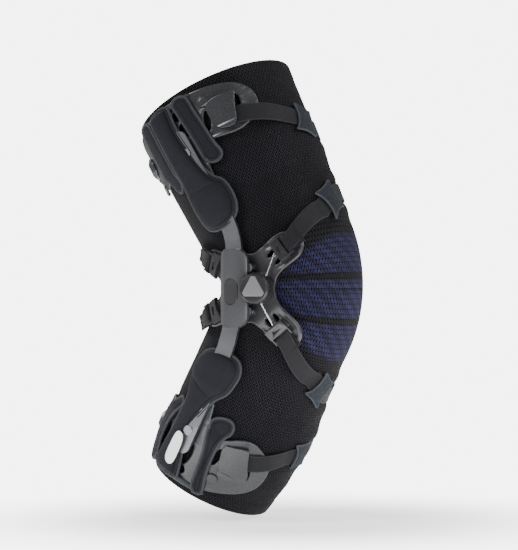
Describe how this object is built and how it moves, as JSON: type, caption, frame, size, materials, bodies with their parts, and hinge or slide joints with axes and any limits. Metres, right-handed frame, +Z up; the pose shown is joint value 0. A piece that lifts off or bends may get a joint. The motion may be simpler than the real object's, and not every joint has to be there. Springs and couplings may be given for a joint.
{
  "type": "knee brace",
  "caption": "Knitted knee sleeve with an outer geared hinge, thigh and calf cuffs, straps and a dial that tightens two knee straps through cables.",
  "frame": {"origin": "inside the leg, on the leg's side-to-side line through the middle of the hinge, where the leg carries the brace", "axes": "+X out through the hinge, +Y to the front of the knee, +Z up"},
  "size_m": [0.1546, 0.2078, 0.4008],
  "materials": {
    "knit": "tight black three-dimensional knit",
    "knit_patella": "black and blue-violet knit",
    "gel": "soft viscoelastic ring",
    "silicone": "grip dots on a band",
    "cuff_plastic": "fine satin grain",
    "bar_metal": "bead-blasted, anodised",
    "steel": "machined",
    "hinge_paint": "satin graphite lacquer",
    "tech_plastic": "moulded, satin",
    "dark_plastic": "moulded, satin",
    "cap_plastic": "satin with a polished rim",
    "webbing": "woven strap",
    "felt": "brushed hook-and-loop felt",
    "pocket_cloth": "laminated jersey with bound edges",
    "binding": "bound edge",
    "label": "blank woven label",
    "cable_steel": "coated steel strand",
    "washer": "bearing plastic"
  },
  "bodies": {
    "thigh": {"thigh_sleeve": "knit", "hem_grips_thigh": "silicone", "thigh_cuff": "cuff_plastic", "thigh_bar": "bar_metal", "thigh_rivets": "steel", "thigh_strap_guides": "cuff_plastic", "thigh_strap": "webbing", "thigh_strap_tab": "felt", "thigh_bar_pocket": "pocket_cloth", "thigh_front_finger": "pocket_cloth", "thigh_rear_finger": "pocket_cloth", "thigh_finger_hem": "binding"},
    "hub": {"knee_sleeve": "knit_patella", "patella_pad": "gel", "hinge_inner_plate": "hinge_paint", "hinge_outer_plate": "hinge_paint", "hinge_axles": "steel", "hinge_washers": "washer", "extension_stops": "steel", "hinge_cover": "hinge_paint", "cover_badge": "hinge_paint", "tension_plate": "tech_plastic", "rear_buckles": "dark_plastic", "knee_strap_upper": "webbing", "knee_strap_lower": "webbing", "knee_strap_tabs": "felt", "rear_strap_ends": "webbing", "cable_upper": "cable_steel", "cable_lower": "cable_steel", "dial_base": "tech_plastic"},
    "calf": {"calf_sleeve": "knit", "hem_grips_calf": "silicone", "calf_cuff": "cuff_plastic", "calf_bar": "bar_metal", "calf_rivets": "steel", "calf_strap_guides": "cuff_plastic", "calf_strap": "webbing", "calf_strap_tab": "felt", "calf_bar_pocket": "pocket_cloth", "calf_front_finger": "pocket_cloth", "calf_rear_finger": "pocket_cloth", "calf_finger_hem": "binding", "size_label": "label"},
    "spool": {"dial_core": "dark_plastic", "dial_spool": "steel"},
    "knob": {"dial_knob": "tech_plastic", "dial_cap": "cap_plastic"},
    "upper_slide": {"slider_upper": "dark_plastic", "strap_end_upper": "webbing"},
    "lower_slide": {"slider_lower": "dark_plastic", "strap_end_lower": "webbing"}
  },
  "joints": [
    {"name": "thigh_pivot", "type": "hinge", "parent": "thigh", "child": "hub", "pos_m": [0, 0, 0.011], "axis": [-1, 0, 0], "range_deg": [-28.5, 31.5], "deforming": ["knee_sleeve", "knee_strap_upper", "knee_strap_lower", "knee_strap_tabs", "rear_strap_ends", "strap_end_upper", "strap_end_lower"]},
    {"name": "calf_pivot", "type": "hinge", "parent": "hub", "child": "calf", "pos_m": [0, 0, -0.011], "axis": [-1, 0, 0], "range_deg": [-28.5, 31.5], "deforming": ["knee_sleeve", "knee_strap_upper", "knee_strap_lower", "knee_strap_tabs", "rear_strap_ends", "strap_end_upper", "strap_end_lower"]},
    {"name": "dial_turn", "type": "hinge", "parent": "hub", "child": "spool", "pos_m": [0.0652, 0.0215, 0], "axis": [-0.9744, -0.225, 0], "range_deg": [0, 147.4]},
    {"name": "dial_lift", "type": "slide", "parent": "spool", "child": "knob", "axis": [0.9744, 0.225, 0], "range_m": [0, 0.0025]},
    {"name": "upper_pull", "type": "slide", "parent": "hub", "child": "upper_slide", "axis": [0.3584, -0.7152, -0.6001], "range_m": [0, 0.009], "deforming": ["strap_end_upper", "cable_upper"]},
    {"name": "lower_pull", "type": "slide", "parent": "hub", "child": "lower_slide", "axis": [0.3584, -0.5748, 0.7357], "range_m": [0, 0.009], "deforming": ["strap_end_lower", "cable_lower"]}
  ],
  "couplings": [
    {"joint": "calf_pivot", "follows": "thigh_pivot", "ratio": 1},
    {"joint": "dial_turn", "follows": "upper_pull", "rad_per_m": 285.71},
    {"joint": "lower_pull", "follows": "upper_pull", "ratio": 1}
  ]
}
